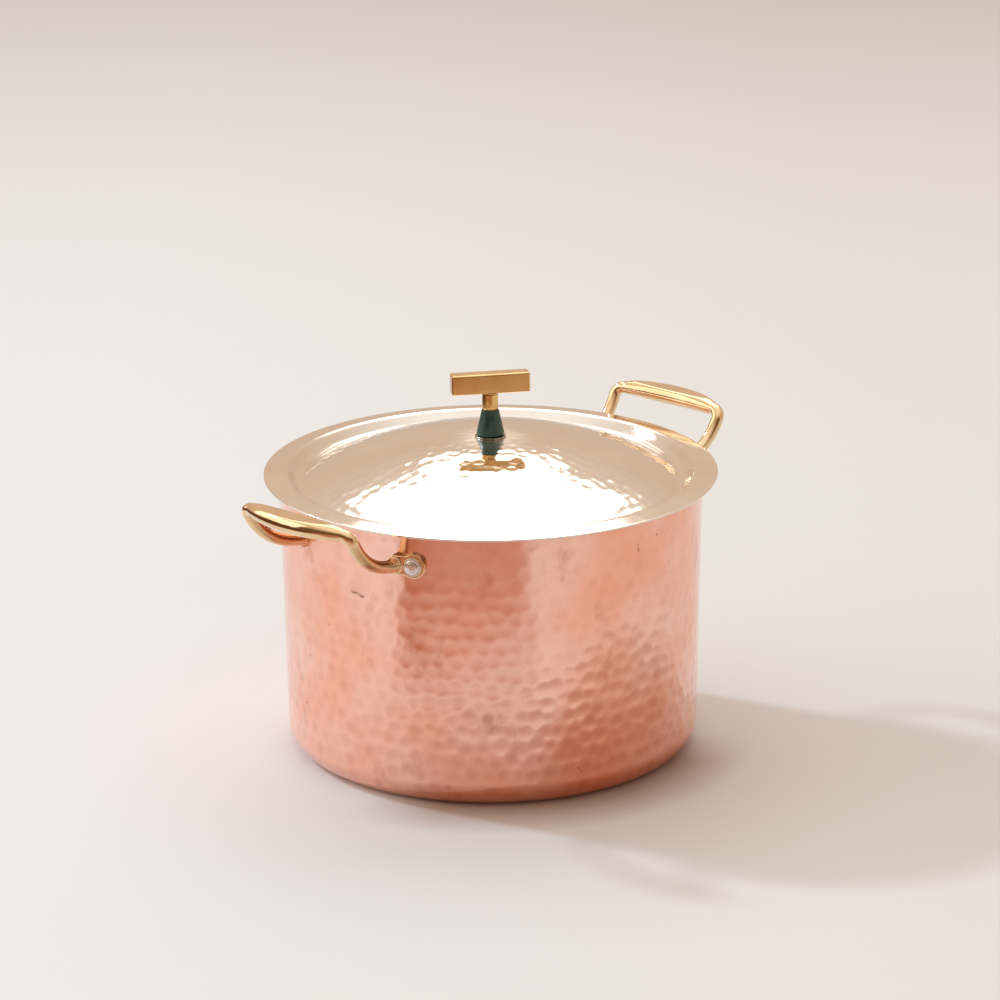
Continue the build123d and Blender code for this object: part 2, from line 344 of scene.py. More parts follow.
warm_room = add_node(tree, "ShaderNodeBackground", [("Color", room.outputs[2])], Strength=1.0)
fill = tree.nodes["Background"]
fill_tone = add_node(tree, "ShaderNodeMix", [("Factor", side_share)], data_type="RGBA")
fill_tone.inputs[6].default_value = (0.55, 0.49, 0.42, 1)
fill_tone.inputs[7].default_value = (0.86, 0.77, 0.67, 1)
tree.links.new(fill_tone.outputs[2], fill.inputs["Color"])
fill.inputs["Strength"].default_value = 1.0
ray = add_node(tree, "ShaderNodeLightPath")
both = add_node(tree, "ShaderNodeMixShader", [("Fac", ray.outputs["Is Glossy Ray"])])
tree.links.new(fill.outputs["Background"], both.inputs[1])
tree.links.new(warm_room.outputs["Background"], both.inputs[2])
tree.links.new(both.outputs["Shader"], tree.nodes["World Output"].inputs["Surface"])

# Copper shell: the outermost of the three bonded sheets, spun to shape and then struck all over with
# a round-faced hammer, row by row. It is polished, and its tone shifts a little where it has been hot.
rim_radius = 0.130
rim_height = 0.174
wall_draft = radians(1.1)
heel_radius = 0.016
copper_thickness = 0.0008
aluminium_thickness = 0.001
steel_thickness = 0.0005
core_inset = copper_thickness
lining_inset = copper_thickness + aluminium_thickness
wall_thickness = lining_inset + steel_thickness
rivet_spread = radians(22.0)
handle_drop = 0.0207
handle_level = rim_height - handle_drop


def wall_radius(height, inset=0.0):
    """Radius of the tapered wall at a height, at a depth below the copper's outer face."""
    return rim_radius - (rim_height - height) * tan(wall_draft) - inset / cos(wall_draft)


slices = 12
same_place = 2e-6


def turned(corners, steps, closed=False):
    """Mesh turned round Z from corners of (radius, height, rounding, spacing), joined by runs and arcs.

    A corner's spacing is how finely its arc and the run that comes to it are cut. One slice is spun,
    in so many steps that slices divides them, and then copied all the way round."""
    mesh = bmesh.new()
    places = [Vector((radius, 0, height)) for radius, height, rounding, spacing in corners]
    first = mesh.verts.new(places[0])
    last = first

    def run_to(place, spacing):
        pen = last
        pieces = max(1, ceil((place - last.co).length / spacing))
        step = (place - last.co) / pieces
        for piece in range(pieces):
            end = mesh.verts.new(pen.co + step)
            mesh.edges.new((pen, end))
            pen = end
        return pen

    for index in range(1, len(corners)):
        rounding, spacing = corners[index][2:]
        if not rounding:
            last = run_to(places[index], spacing)
            continue
        arriving = (places[index] - places[index - 1]).normalized()
        leaving = (places[(index + 1) % len(places)] - places[index]).normalized()
        bend = arriving.angle(leaving)
        pivot = arriving.cross(leaving).normalized()
        last = run_to(places[index] - arriving * rounding * tan(bend / 2), spacing)
        arc = bmesh.ops.spin(
            mesh, geom=[last], cent=last.co + pivot.cross(arriving) * rounding, axis=pivot,
            angle=bend, steps=max(3, ceil(rounding * bend / spacing)),
        )
        last = next(piece for piece in arc["geom_last"] if isinstance(piece, bmesh.types.BMVert))
    if closed:
        mesh.edges.new((last, first))
    slice_angle = 2 * pi / slices
    bmesh.ops.spin(
        mesh, geom=mesh.verts[:] + mesh.edges[:], cent=(0, 0, 0), axis=(0, 0, 1), angle=slice_angle,
        steps=steps // slices,
    )
    bmesh.ops.spin(
        mesh, geom=mesh.verts[:] + mesh.edges[:] + mesh.faces[:], cent=(0, 0, 0), axis=(0, 0, 1),
        angle=2 * pi - slice_angle, steps=slices - 1, use_duplicate=True,
    )
    bmesh.ops.remove_doubles(mesh, verts=mesh.verts, dist=same_place)
    bmesh.ops.recalc_face_normals(mesh, faces=mesh.faces)
    return mesh


base_spacing = 0.01
inside_spacing = 0.012
edge_spacing = 0.001


def cup(outer_inset, inner_inset, spacing, steps):
    """One of the three sheets: a rounded cup between two depths of the wall, open at the rim."""
    return turned(
        [
            (0, outer_inset, 0, base_spacing),
            (wall_radius(outer_inset, outer_inset) - heel_radius, outer_inset, 0, base_spacing),
            (wall_radius(outer_inset, outer_inset), outer_inset, heel_radius - outer_inset, spacing),
            (wall_radius(rim_height, outer_inset), rim_height, 0, spacing),
            (wall_radius(rim_height, inner_inset), rim_height, 0, edge_spacing),
            (wall_radius(inner_inset, inner_inset), inner_inset, heel_radius - inner_inset, inside_spacing),
            (0, inner_inset, 0, base_spacing),
        ],
        steps,
    )


neighbours = 3
faintest_dent_shade = 0.35
golden_share = 0.618034


def hammer(mesh, marks, face_radius, blend, hold):
    """Pushes in a mesh under hammer marks of (place, depth), as far as hold lets each point go.

    Blend is how softly one mark runs into the next. The layer strike_tint holds painted shade in each
    mark, deepest at its middle and fuller where the hammer sinks further; its strength differs from one
    mark to the next."""
    mesh.normal_update()
    tint = mesh.verts.layers.float.new("strike_tint")
    tree = KDTree(len(marks))
    for index, (place, depth) in enumerate(marks):
        tree.insert(place, index)
    tree.balance()
    moves = []
    for vert in mesh.verts:
        share = hold(vert)
        if share <= 0:
            continue
        near = tree.find_n(vert.co, neighbours)
        dents = [marks[index][1] - distance**2 / (2 * face_radius) for place, index, distance in near]
        deepest = max(dents)
        index = near[dents.index(deepest)][1]
        dent_shade = faintest_dent_shade + (1 - faintest_dent_shade) * (index * golden_share % 1) ** 3
        vert[tint] = dent_shade * max(0, deepest) / marks[index][1] * sqrt(share)
        dent = deepest + blend * log(sum(exp((each - deepest) / blend) for each in dents))
        moves.append((vert, vert.normal * max(dent, 0) * share))
    for vert, move in moves:
        vert.co -= move


def finished(name, mesh, body, nodes, material):
    """Smooth piece made from a mesh, riding on a body and standing for its CAD nodes."""
    data = bpy.data.meshes.new(name)
    mesh.to_mesh(data)
    mesh.free()
    data.shade_smooth()
    data.materials.append(material)
    piece = bpy.data.objects.new(name, data)
    scene.collection.objects.link(piece)
    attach(piece, body)
    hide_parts(*nodes)
    return piece


strike_pitch = 0.0100
strike_rows = 0.0092
strike_depth = 0.00048
strike_face = 0.036
strike_blend = 0.00002
strike_shift_round = 0.28
strike_shift_up = 0.0022
strike_clearance = 0.010
weakest_strike = 0.45
hardest_strike = 1.1
first_row_share = 0.6
struck_heel_share = 0.5
shell_spacing = 0.00145
shell_steps = 540
planish_start = 0.138
planish_reach = 0.090
planish_share = 0.24
grip_reach_round = 0.24
grip_reach_up = 0.016
below_grip_level = 0.130
below_grip_share = 0.9
rim_easing = 0.006
heel_easing = 3
wall_waviness = 0.00016
wall_wave_count = 26
chance = Random(11)
rivet_angles = {
    "left_handle_front_rivet": pi + rivet_spread,
    "left_handle_rear_rivet": pi - rivet_spread,
    "right_handle_front_rivet": -rivet_spread,
    "right_handle_rear_rivet": rivet_spread,
}
seats = [
    Vector((cos(angle), sin(angle), 0)) * wall_radius(handle_level) + Vector((0, 0, handle_level))
    for angle in rivet_angles.values()
]
copper_shell = cup(0, copper_thickness, shell_spacing, shell_steps)
marks = []
rows = int((rim_height + struck_heel_share * heel_radius) / strike_rows)
for row in range(rows):
    drop = (row + first_row_share) * strike_rows
    height = rim_height - drop
    into_heel = max(heel_radius - height, 0) / heel_radius
    radius = wall_radius(max(height, heel_radius)) - heel_radius * (1 - cos(into_heel))
    height = min(height, heel_radius) - heel_radius * sin(into_heel) if into_heel else height
    count = round(2 * pi * radius / strike_pitch)
    for index in range(count):
        slip = chance.uniform(-strike_shift_round, strike_shift_round)
        angle = 2 * pi * (index + row % 2 / 2 + slip) / count
        shift = chance.uniform(-strike_shift_up, strike_shift_up)
        place = Vector((radius * cos(angle), radius * sin(angle), height + shift))
        if min((place - seat).length for seat in seats) > strike_clearance:
            marks.append((place, strike_depth * chance.uniform(weakest_strike, hardest_strike)))


def copper_hold(vert):
    """How far the hammer sinks the copper at a point.

    That is all over the outside, less on the planished upper wall but for a patch under each grip,
    and not at all at the rim."""
    outward = vert.co.x * vert.normal.x + vert.co.y * vert.normal.y
    if outward <= 0:
        return 0
    from_handle = atan2(vert.co.y, abs(vert.co.x)) / grip_reach_round
    below_grip = exp(-(from_handle**2) - ((vert.co.z - below_grip_level) / grip_reach_up) ** 2)
    lowness = min(1, max(0, (planish_start - vert.co.z) / planish_reach))
    share = max(planish_share + (1 - planish_share) * lowness, below_grip_share * below_grip)
    below_rim = min(1, (rim_height - vert.co.z) / rim_easing)
    return share * below_rim * min(1, outward / rim_radius * heel_easing)


hammer(copper_shell, marks, strike_face, strike_blend, copper_hold)
for vert in copper_shell.verts:
    wave = 0.5 + 0.5 * noise.noise(vert.co * wall_wave_count)
    vert.co -= vert.normal * (wall_waviness * copper_hold(vert) * wave)

copper, tree, shader = new_material("hammered_copper", Metallic=1.0, Coat_Weight=0.35, Coat_Roughness=0.08)
place = object_place(tree)
bloom = add_noise(tree, place, 16, 3)
copper_tone = add_ramp(
    tree, bloom, (0.34, (0.955, 0.45, 0.30)), (0.5, (0.975, 0.525, 0.40)), (0.66, (0.985, 0.60, 0.49)),
)
specks = add_ramp(tree, add_noise(tree, place, 150, 2), (0.735, grey(1)), (0.79, (0.60, 0.46, 0.40)))
smudge = add_noise(tree, object_place(tree, (1, 1, 0.7)), 38, 4, 0.55)
smudges = add_ramp(tree, smudge, (0.62, grey(1)), (0.76, (0.72, 0.60, 0.55)))
# Painted shade in the hammer dents: each mark is darker towards its middle, with a strength that differs
# from mark to mark.
strike = add_node(tree, "ShaderNodeAttribute", attribute_name="strike_tint")
struck = add_ramp(tree, strike.outputs["Fac"], (0, grey(1)), (1, (0.87, 0.78, 0.73)))
stained = tinted(tree, tinted(tree, tinted(tree, copper_tone, specks), smudges), struck)
tree.links.new(stained, shader.inputs["Base Color"])
rubbed = add_noise(tree, object_place(tree, (1, 1, 0.4)), 70, 4, 0.6)
roughness_by(tree, shader, rubbed, 0.05, 0.15, end=0.75)
add_bump(tree, shader, add_noise(tree, place, 420, 3, 0.6), 0.00003, 0.5)
finished("hammered_shell", copper_shell, "pot", ["copper_shell"], copper)

# Core and lining: the aluminium sheet in the middle shows only as a thin satin band in the rim, and
# the steel inside is brushed in circles on a lathe, on the wall and on the base alike.
sheet_spacing = 0.004
core_steps = 240
lining_steps = 300


def circular_grain(tree, fineness):
    """Noise that runs in rings round Z, on flat and upright faces alike."""
    place = add_node(tree, "ShaderNodeTexCoord")
    split = add_node(tree, "ShaderNodeSeparateXYZ", [(0, place.outputs["Object"])])
    flat = add_node(tree, "ShaderNodeCombineXYZ", [("X", split.outputs["X"]), ("Y", split.outputs["Y"])])
    radius = length_of(tree, flat.outputs[0])
    rings = add_node(tree, "ShaderNodeCombineXYZ", [("X", radius), ("Y", split.outputs["Z"])])
    return add_noise(tree, rings.outputs[0], fineness, 4, 0.65)


aluminium, tree, shader = new_material("aluminium_core", Metallic=1.0)
grain = circular_grain(tree, 2600)
colour_by(tree, shader, grain, (0.3, (0.74, 0.75, 0.76)), (0.7, (0.86, 0.87, 0.88)))
roughness_by(tree, shader, grain, 0.28, 0.42)
add_bump(tree, shader, grain, 0.00003)
core = cup(core_inset, lining_inset, sheet_spacing, core_steps)
finished("rim_core", core, "pot", ["aluminium_core"], aluminium)

lining_steel, tree, shader = new_material("brushed_lining", Metallic=1.0)
grain = circular_grain(tree, 1500)
colour_by(tree, shader, grain, (0.3, (0.60, 0.59, 0.57)), (0.7, (0.74, 0.73, 0.71)))
roughness_by(tree, shader, grain, 0.22, 0.36)
add_bump(tree, shader, grain, 0.00004)
lining = cup(lining_inset, wall_thickness, sheet_spacing, lining_steps)
finished("brushed_lining", lining, "pot", ["steel_lining"], lining_steel)

# Handles: two alike bronze castings, each a leaf-shaped grip with a flat top, two round legs bent
# down and in, and two pads ground to sit on the wall. The second is the first turned half round.
pad_thickness = 0.0032
pad_end_radius = 0.0076
pad_tail_height = 0.012
pad_tail_margin = 0.0024
pad_fit = 0.00005
leg_rivet_gap = 0.0003
leg_foot_radius = 0.0046
leg_flare = 0.006
leg_radius = 0.0039
leg_bend = 0.044
leg_slope = radians(62.0)
leg_splay = radians(6.0)
corner_bend = 0.006
grip_bow = 0.005
grip_width = 0.016
grip_height = 0.0108
grip_facet = 0.0051
grip_crown = 0.00025
grip_fullness_power = 0.8
grip_sides = 56
grip_cuts = 72
leg_sides = 32
leg_bend_steps = 28
corner_steps = 14
pad_sides = 48
grip_shelf = 10.0
casting_grain = 0.00045
casting_rounds = 8
rivet_flange_radius = 0.0056
seat_radius = wall_radius(handle_level)
leg_to_rivet = leg_foot_radius + leg_rivet_gap + rivet_flange_radius
leg_side = seat_radius * sin(rivet_spread - leg_to_rivet / seat_radius)
leg_foot = Vector((sqrt(seat_radius**2 - leg_side**2) + pad_thickness, leg_side, handle_level))
leg_out = Vector((cos(leg_splay), sin(leg_splay), 0))
leg_across = Vector((-sin(leg_splay), cos(leg_splay), 0))
upward = Vector((0, 0, 1))
leg_direction = leg_out * cos(leg_slope) + upward * sin(leg_slope)
leg_top = leg_foot + (leg_out * sin(leg_slope) + upward * (1 - cos(leg_slope))) * leg_bend
grip_end = leg_top + (leg_direction - leg_across) * corner_bend


def aimed(place, side_way, rise_way, out_way):
    """Matrix that puts a mesh's X, Y and Z along three directions from a place."""
    turn = Matrix((side_way, rise_way, out_way)).transposed()
    return Matrix.Translation(place) @ turn.to_4x4()


# Leg: a round rod run out of the pad, bent up and then in to the grip, with a flared foot.
leg = bmesh.new()
bmesh.ops.create_circle(
    leg, segments=leg_sides, radius=leg_radius, matrix=aimed(leg_foot, leg_across, upward, leg_out),
)
root = leg.edges[:]
arc = bmesh.ops.spin(
    leg, geom=root, cent=leg_foot + upward * leg_bend, axis=-leg_across, angle=leg_slope,
    steps=leg_bend_steps,
)
bmesh.ops.spin(
    leg, geom=[piece for piece in arc["geom_last"] if isinstance(piece, bmesh.types.BMEdge)],
    cent=leg_top - leg_across * corner_bend, axis=leg_across.cross(leg_direction), angle=pi / 2,
    steps=corner_steps,
)
sunk = bmesh.ops.extrude_edge_only(leg, edges=root)["geom"]
sunk_verts = [piece for piece in sunk if isinstance(piece, bmesh.types.BMVert)]
bmesh.ops.translate(leg, verts=sunk_verts, vec=leg_out * -pad_thickness)
bmesh.ops.holes_fill(leg, edges=[edge for edge in leg.edges if edge.is_boundary])
bmesh.ops.create_cone(
    leg, cap_ends=True, segments=leg_sides, radius1=leg_foot_radius, radius2=leg_radius, depth=leg_flare,
    matrix=aimed(leg_foot + leg_out * leg_flare / 2, leg_across, upward, leg_out),
)
bmesh.ops.create_cone(
    leg, cap_ends=True, segments=leg_sides, radius1=leg_foot_radius, radius2=leg_foot_radius,
    depth=pad_thickness, matrix=aimed(leg_foot - leg_out * pad_thickness / 2, leg_across, upward, leg_out),
)

# Pad: a disc round the rivet and a square-ended tail towards the leg's foot. Both are made twice as
# thick as the pad, and what reaches into the wall is pushed back to its face later.
pad_tail_length = leg_to_rivet + pad_tail_margin
rivet_out = Vector((cos(rivet_spread), sin(rivet_spread), 0))
rivet_side = Vector((-sin(rivet_spread), cos(rivet_spread), 0))
rivet_seat = rivet_out * seat_radius + upward * handle_level
bmesh.ops.create_cone(
    leg, cap_ends=True, segments=pad_sides, radius1=pad_end_radius, radius2=pad_end_radius,
    depth=2 * pad_thickness, matrix=aimed(rivet_seat, rivet_side, upward, rivet_out),
)
tail_middle = rivet_seat - rivet_side * pad_tail_length / 2
tail_size = Matrix.Diagonal((pad_tail_length, pad_tail_height, 2 * pad_thickness, 1))
bmesh.ops.create_cube(leg, size=1, matrix=aimed(tail_middle, rivet_side, upward, rivet_out) @ tail_size)
bmesh.ops.mirror(leg, geom=leg.verts[:] + leg.edges[:] + leg.faces[:], axis="Y", merge_dist=-1)

# Grip: a round bar drawn out between the corners, fullest in the middle, and cut flat on top. It is
# made on a shelf far above the rest, so that its points can be told apart, and then moved down.
bmesh.ops.create_cone(
    leg, cap_ends=True, segments=grip_sides, radius1=1, radius2=1, depth=2,
    matrix=Matrix.Translation((0, 0, grip_shelf)),
)
runs = [
    edge for edge in leg.edges
    if edge.verts[0].co.z > grip_shelf / 2 and abs(edge.verts[0].co.z - edge.verts[1].co.z) > 1
]
bmesh.ops.subdivide_edges(leg, edges=runs, cuts=grip_cuts, use_grid_fill=True)
for vert in leg.verts:
    if vert.co.z < grip_shelf / 2:
        continue
    share = vert.co.z - grip_shelf
    fullness = max(cos(share * pi / 2), 0) ** grip_fullness_power
    across = vert.co.x * (leg_radius + (grip_width / 2 - leg_radius) * fullness)
    if vert.co.y > 0:
        level = grip_facet + grip_crown * (1 - vert.co.x**2)
        rise = min(vert.co.y * (leg_radius + (grip_width / 2 - leg_radius) * fullness), level)
    else:
        rise = vert.co.y * (leg_radius + (grip_height / 2 - leg_radius) * fullness)
    middle = Vector((grip_end.x + grip_bow * (1 - share**2), share * grip_end.y, grip_end.z))
    outward = Vector((grip_end.y, 2 * grip_bow * share, 0)).normalized()
    vert.co = middle + outward * across + upward * rise
bmesh.ops.recalc_face_normals(leg, faces=leg.faces)


def cast(name, mesh, grain, rounds):
    """Overlapping closed shapes made into one skin, its inner corners softened as a casting's are."""
    data = bpy.data.meshes.new(name)
    mesh.to_mesh(data)
    mesh.free()
    pattern = bpy.data.objects.new(name, data)
    scene.collection.objects.link(pattern)
    skin = pattern.modifiers.new("skin", "REMESH")
    skin.mode = "VOXEL"
    skin.voxel_size = grain
    ease = pattern.modifiers.new("ease", "SMOOTH")
    ease.factor = 0.5
    ease.iterations = rounds
    bpy.context.view_layer.update()
    shape = bpy.data.meshes.new_from_object(pattern.evaluated_get(bpy.context.evaluated_depsgraph_get()))
    bpy.data.objects.remove(pattern)
    whole = bmesh.new()
    whole.from_mesh(shape)
    return whole


right_casting = cast("casting", leg, casting_grain, casting_rounds)
for vert in right_casting.verts:
    radius = hypot(vert.co.x, vert.co.y)
    seat = wall_radius(vert.co.z) + pad_fit
    if radius < seat:
        vert.co.xy *= seat / radius
left_casting = right_casting.copy()
bmesh.ops.rotate(left_casting, verts=left_casting.verts, cent=(0, 0, 0), matrix=Matrix.Rotation(pi, 3, "Z"))

bronze, tree, shader = new_material("polished_bronze", Metallic=1.0, Coat_Weight=0.8, Coat_Roughness=0.08)
place = object_place(tree)
bloom = add_noise(tree, place, 45, 3)
colour_by(tree, shader, bloom, (0.35, (0.80, 0.56, 0.29)), (0.65, (0.88, 0.67, 0.40)))
rubbed = add_noise(tree, place, 160, 4, 0.6)
roughness_by(tree, shader, rubbed, 0.06, 0.15, end=0.75)
add_bump(tree, shader, add_noise(tree, place, 260, 2), 0.00004, 0.5)
finished("right_casting", right_casting, "pot", ["right_handle"], bronze)
finished("left_casting", left_casting, "pot", ["left_handle"], bronze)

# Rivets: solid steel, four of them, each with a stepped head hammered down on a pad and a low round
# head inside the pot. All four are the same turned shape set square to the wall.
rivet_radius = 0.0027
rivet_flange_height = 0.0009
rivet_crown_radius = 0.0042
rivet_crown_height = 0.0013
rivet_inner_radius = 0.0049
rivet_inner_height = 0.0016
crown_foot_radius = 0.0045
crown_shoulder = 0.0007
ring_ridge_radius = 0.0030
ring_ridge_height = 0.00116
ring_groove_radius = 0.0025
ring_groove_height = 0.0011
button_radius = 0.0019
inner_shoulder_reach = 0.6
inner_shoulder_rise = 0.92
rivet_steps = 48
mouth_radius = rim_radius - wall_thickness / cos(wall_draft)
inner_sag = rivet_inner_radius**2 / (2 * mouth_radius) + rivet_inner_radius * tan(wall_draft)
inner_seat = -(wall_thickness / cos(wall_draft) + inner_sag)
crown_seat = pad_thickness + rivet_flange_height
steel, tree, shader = new_material("rivet_steel", Metallic=1.0)
place = object_place(tree)
speckle = add_noise(tree, place, 260, 3)
colour_by(tree, shader, speckle, (0.35, (0.80, 0.80, 0.81)), (0.65, (0.86, 0.86, 0.87)))
roughness_by(tree, shader, add_noise(tree, place, 900, 3), 0.20, 0.30)
add_bump(tree, shader, add_noise(tree, place, 500, 3), 0.000008, 0.5)
for name, angle in rivet_angles.items():
    rivet = turned(
        [
            (0, inner_seat - rivet_inner_height, 0, 0.0005),
            (
                inner_shoulder_reach * rivet_inner_radius,
                inner_seat - inner_shoulder_rise * rivet_inner_height, 0.006, 0.0004,
            ),
            (rivet_inner_radius, inner_seat, 0, 0.0004),
            (rivet_radius, inner_seat, 0, 0.001),
            (rivet_radius, pad_thickness, 0, 0.002),
            (rivet_flange_radius, pad_thickness, 0, 0.001),
            (rivet_flange_radius, crown_seat, 0.0004, 0.00015),
            (crown_foot_radius, crown_seat, 0.0002, 0.0001),
            (rivet_crown_radius, crown_seat + crown_shoulder, 0.0007, 0.00015),
            (ring_ridge_radius, crown_seat + ring_ridge_height, 0.0006, 0.0001),
            (ring_groove_radius, crown_seat + ring_groove_height, 0.0005, 0.0001),
            (button_radius, crown_seat + rivet_crown_height, 0.0012, 0.0002),
            (0, crown_seat + rivet_crown_height, 0, 0.0004),
        ],
        rivet_steps,
    )
    out_way = Vector((cos(angle), sin(angle), 0))
    side_way = Vector((-sin(angle), cos(angle), 0))
    place = out_way * seat_radius + upward * handle_level
    bmesh.ops.transform(rivet, matrix=aimed(place, side_way, upward, out_way), verts=rivet.verts)
    bmesh.ops.recalc_face_normals(rivet, faces=rivet.faces)
    finished(name.replace("rivet", "rivet_head"), rivet, "pot", [name], steel)

# Lid: one steel sheet pressed with a flange that slopes down outwards over the rim, a soft cove down
# inside the mouth and a shallow dome. The dome is hammered in rings on top, and all is polished.
lid_sheet = 0.0012
lid_seat_gap = 0.0003
flange_overhang = 0.0092
flange_slope = radians(7.5)
lid_wall_clearance = 0.0012
lid_step_lean = radians(42.0)
lid_step_depth = 0.0058
groove_width = 0.004
lid_bend_radius = 0.004
dome_rise = 0.020
dome_flat_radius = 0.010
screw_hole_radius = 0.0033
bend_allowance = 1.2
flange_edge_rounding = 0.0004
flange_spacing = 0.0014
bend_spacing = 0.0005
dome_spacing = 0.00125
underside_spacing = 0.003
lid_steps = 480
straight = 0.001
flange_underside = rim_height + lid_seat_gap
flange_top = flange_underside + lid_sheet / cos(flange_slope)
apex_top = flange_top + dome_rise
step_top = mouth_radius - lid_wall_clearance - lid_sheet
step_level = flange_top + (rim_radius - step_top) * tan(flange_slope)
groove_level = flange_top - lid_step_depth
step_foot = step_top - (step_level - groove_level) * tan(lid_step_lean)
groove_inner = step_foot - groove_width
flange_radius = rim_radius + flange_overhang
flange_edge_level = flange_top - flange_overhang * tan(flange_slope)
dome_span = groove_inner - dome_flat_radius
dome_height = apex_top - groove_level
dome_radius = (dome_span**2 + dome_height**2) / (2 * dome_height)
dome_turn = 2 * atan2(dome_height, dome_span)
dome_stop = dome_turn - bend_allowance * lid_bend_radius * tan(dome_turn / 2) / dome_radius
dome_corner = dome_flat_radius + dome_radius * tan(dome_stop / 2)
dome_foot = dome_corner + dome_height / tan(dome_stop)


def pressed(corners, sheet, back_spacing):
    """Closed outline of a bent sheet from its top corners: out along the top and back underneath."""
    under = []
    for index, (radius, height, rounding, spacing) in enumerate(corners):
        place = Vector((radius, height))
        ways = [(place - Vector(corners[index - 1][:2])).normalized()] if index else []
        if index < len(corners) - 1:
            ways.append((Vector(corners[index + 1][:2]) - place).normalized())
        backs = [Vector((way.y, -way.x)) for way in ways]
        place += (backs[0] + backs[-1]) / (1 + backs[0].dot(backs[-1])) * sheet
        bend = ways[0].x * ways[-1].y - ways[0].y * ways[-1].x
        if abs(bend) > straight:
            rounding += sheet if bend > 0 else -sheet
        under.append((place.x, place.y, rounding, back_spacing))
    return corners + under[::-1]


lid_shell = turned(
    pressed(
        [
            (screw_hole_radius, apex_top, 0, 0.002),
            (dome_corner, apex_top, dome_radius, dome_spacing),
            (dome_foot, groove_level, lid_bend_radius, bend_spacing),
            (step_foot, groove_level, lid_bend_radius, bend_spacing),
            (step_top, step_level, lid_bend_radius, bend_spacing),
            (flange_radius, flange_edge_level, flange_edge_rounding, flange_spacing),
        ],
        lid_sheet, underside_spacing,
    ),
    lid_steps,
    closed=True,
)
ring_pitch = 0.0070
ring_step = 0.0073
ring_depth = 0.00017
ring_face = 0.062
ring_blend = 0.00001
ring_shift_round = 0.3
ring_shift_out = 0.0016
first_ring_radius = 0.010
outer_ring_inset = 0.0035
groove_easing = 0.004
knob_seat_radius = 0.0098
knob_seat_easing = 0.003
full_depth_radius = 0.05
middle_depth_share = 0.45
weakest_ring = 0.5
hardest_ring = 1.2
top_facing = 0.5
fingered_start = 0.012
fingered_end = 0.030
fingered_roughness = 0.20
marks = []
rings = int((groove_inner - groove_easing) / ring_step)
for ring in range(1, rings + 1):
    radius = groove_inner - outer_ring_inset - (rings - ring) * ring_step
    if radius < first_ring_radius:
        continue
    beyond_flat = max(radius - dome_flat_radius, 0)
    height = apex_top - dome_radius + sqrt(dome_radius**2 - beyond_flat**2)
    count = round(2 * pi * radius / ring_pitch)
    for index in range(count):
        slip = chance.uniform(-ring_shift_round, ring_shift_round)
        angle = 2 * pi * (index + ring % 2 / 2 + slip) / count
        reach = radius + chance.uniform(-ring_shift_out, ring_shift_out)
        place = Vector((reach * cos(angle), reach * sin(angle), height))
        deeper = middle_depth_share + (1 - middle_depth_share) * min(1, radius / full_depth_radius)
        marks.append((place, ring_depth * deeper * chance.uniform(weakest_ring, hardest_ring)))


def lid_hold(vert):
    """How far the hammer sinks the lid at a point: on the dome's top, but not under the knob."""
    radius = hypot(vert.co.x, vert.co.y)
    if vert.normal.z < top_facing or radius > groove_inner:
        return 0
    from_knob = max(0, radius - knob_seat_radius)
    return min(1, (groove_inner - radius) / groove_easing) * min(1, from_knob / knob_seat_easing)


hammer(lid_shell, marks, ring_face, ring_blend, lid_hold)
lid_steel, tree, shader = new_material("hammered_lid_steel", Metallic=1.0)
place = object_place(tree)
bloom = add_noise(tree, place, 20, 3)
colour_by(tree, shader, bloom, (0.35, (0.84, 0.77, 0.70)), (0.65, (0.90, 0.84, 0.775)))
rubbed = add_noise(tree, object_place(tree, (1, 1, 3)), 90, 4, 0.6)
from_knob = length_of(tree, object_place(tree, (1, 1, 0)))
fingered = add_range(tree, from_knob, fingered_start, fingered_end, fingered_roughness, 0)
rubbed = add_maths(tree, "ADD", add_range(tree, rubbed, 0.3, 0.75, 0.05, 0.13), fingered)
tree.links.new(rubbed, shader.inputs["Roughness"])
add_bump(tree, shader, circular_grain(tree, 1100), 0.00001, 0.5)
finished("hammered_lid", lid_shell, "lid", ["lid_shell"], lid_steel)

# Knob: a steel ring coloured dark with painted shade under the cone's foot, a turned cone of dark green
# resin, a brass neck and a square brass bar across the top. A screw from under the lid draws the stack
# together through a washer.
knob_ring_radius = 0.0094
knob_ring_thickness = 0.0011
cone_foot_radius = 0.0088
cone_top_radius = 0.0052
cone_height = 0.0164
cone_foot_rounding = 0.0016
neck_radius = 0.0049
neck_height = 0.0106
neck_edge = 0.0004
bar_length = 0.0484
bar_width = 0.0096
bar_height = 0.0124
bar_edge = 0.0011
bar_turn = radians(-37.0)
knob_steps = 96
cone_foot = apex_top + knob_ring_thickness
cone_top = cone_foot + cone_height
bar_foot = cone_top + neck_height
ring = turned(
    [
        (screw_hole_radius, apex_top, 0, 0.001),
        (knob_ring_radius, apex_top, 0.00025, 0.001),
        (knob_ring_radius, cone_foot, 0.00035, 0.0002),
        (screw_hole_radius, cone_foot, 0, 0.001),
    ],
    knob_steps,
    closed=True,
)
painted_shade_steel, tree, shader = new_material("ring_steel_painted_shade", Metallic=1.0)
# Painted shade: the ring is coloured dark as the shade under the cone's foot, mottled at random by wear.
worn = add_noise(tree, object_place(tree), 400, 3)
colour_by(tree, shader, worn, (0.4, (0.20, 0.17, 0.15)), (0.7, (0.48, 0.45, 0.42)))
roughness_by(tree, shader, worn, 0.18, 0.34)
add_bump(tree, shader, worn, 0.00001, 0.5)
finished("ring_painted_shade", ring, "lid", ["knob_ring"], painted_shade_steel)

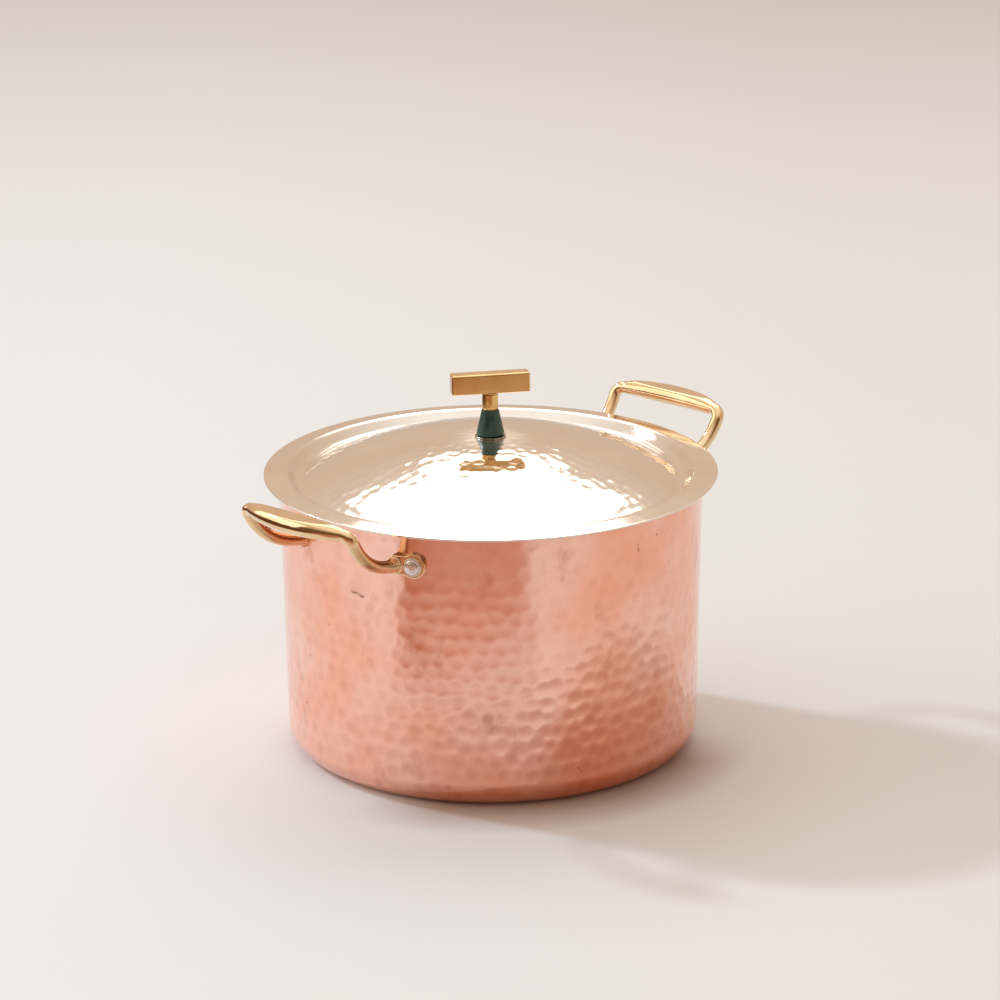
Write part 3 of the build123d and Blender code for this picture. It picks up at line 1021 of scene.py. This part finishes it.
cone = turned(
    [
        (screw_hole_radius, cone_foot, 0, 0.001),
        (cone_foot_radius, cone_foot, cone_foot_rounding, 0.0004),
        (cone_top_radius, cone_top, 0.0003, 0.0008),
        (screw_hole_radius, cone_top, 0, 0.001),
    ],
    knob_steps,
    closed=True,
)
resin, tree, shader = new_material("green_resin", Specular_IOR_Level=0.5)
swirl = add_noise(tree, object_place(tree, (1, 1, 0.45)), 240, 4, 0.6)
colour_by(tree, shader, swirl, (0.3, (0.012, 0.040, 0.028)), (0.7, (0.030, 0.078, 0.056)))
roughness_by(tree, shader, swirl, 0.26, 0.42)
add_bump(tree, shader, circular_grain(tree, 2400), 0.00003, 0.6)
finished("resin_cone", cone, "lid", ["knob_cone"], resin)

neck = turned(
    [
        (0, cone_top, 0, 0.002),
        (neck_radius - neck_edge, cone_top, 0, 0.002),
        (neck_radius, cone_top + neck_edge, 0, 0.001),
        (neck_radius, bar_foot - neck_edge, 0, 0.001),
        (neck_radius - neck_edge, bar_foot, 0, 0.001),
        (0, bar_foot, 0, 0.002),
    ],
    knob_steps,
)
brass, tree, shader = new_material("turned_brass", Metallic=1.0)
grain = circular_grain(tree, 3000)
colour_by(tree, shader, grain, (0.3, (0.70, 0.43, 0.16)), (0.7, (0.82, 0.56, 0.24)))
roughness_by(tree, shader, grain, 0.06, 0.13)
add_bump(tree, shader, grain, 0.00002, 0.8)
finished("turned_neck", neck, "lid", ["knob_neck"], brass)

bar = bmesh.new()
bmesh.ops.create_cube(bar, size=1, matrix=Matrix.Diagonal((bar_length, bar_width, bar_height, 1)))
bmesh.ops.bevel(
    bar, geom=bar.edges[:], offset=bar_edge, offset_type="OFFSET", affect="EDGES", segments=3, profile=0.5,
    material=-1, clamp_overlap=True,
)
bmesh.ops.transform(
    bar, verts=bar.verts,
    matrix=Matrix.Translation((0, 0, bar_foot + bar_height / 2)) @ Matrix.Rotation(bar_turn, 4, "Z"),
)
bar_brass, tree, shader = new_material("brushed_brass", Metallic=1.0, Coat_Weight=0.8, Coat_Roughness=0.12)
brushed = add_noise(tree, object_place(tree, (12, 700, 700), -bar_turn), 3, 4, 0.6)
cloudy = add_noise(tree, object_place(tree), 60, 3)
colour_by(tree, shader, cloudy, (0.35, (0.69, 0.43, 0.16)), (0.65, (0.78, 0.53, 0.22)))
roughness_by(tree, shader, brushed, 0.17, 0.25)
add_bump(tree, shader, brushed, 0.000004, 0.6)
piece = finished("square_bar", bar, "lid", ["knob_bar"], bar_brass)
crisp = piece.modifiers.new("crisp", "WEIGHTED_NORMAL")
crisp.keep_sharp = True

# Washer and slotted screw: they clamp the knob from under the lid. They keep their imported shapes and
# take the rivets' polished steel.
for name in ("lid_washer", "lid_screw"):
    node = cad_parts[name]
    node.data.materials.clear()
    node.data.materials.append(steel)
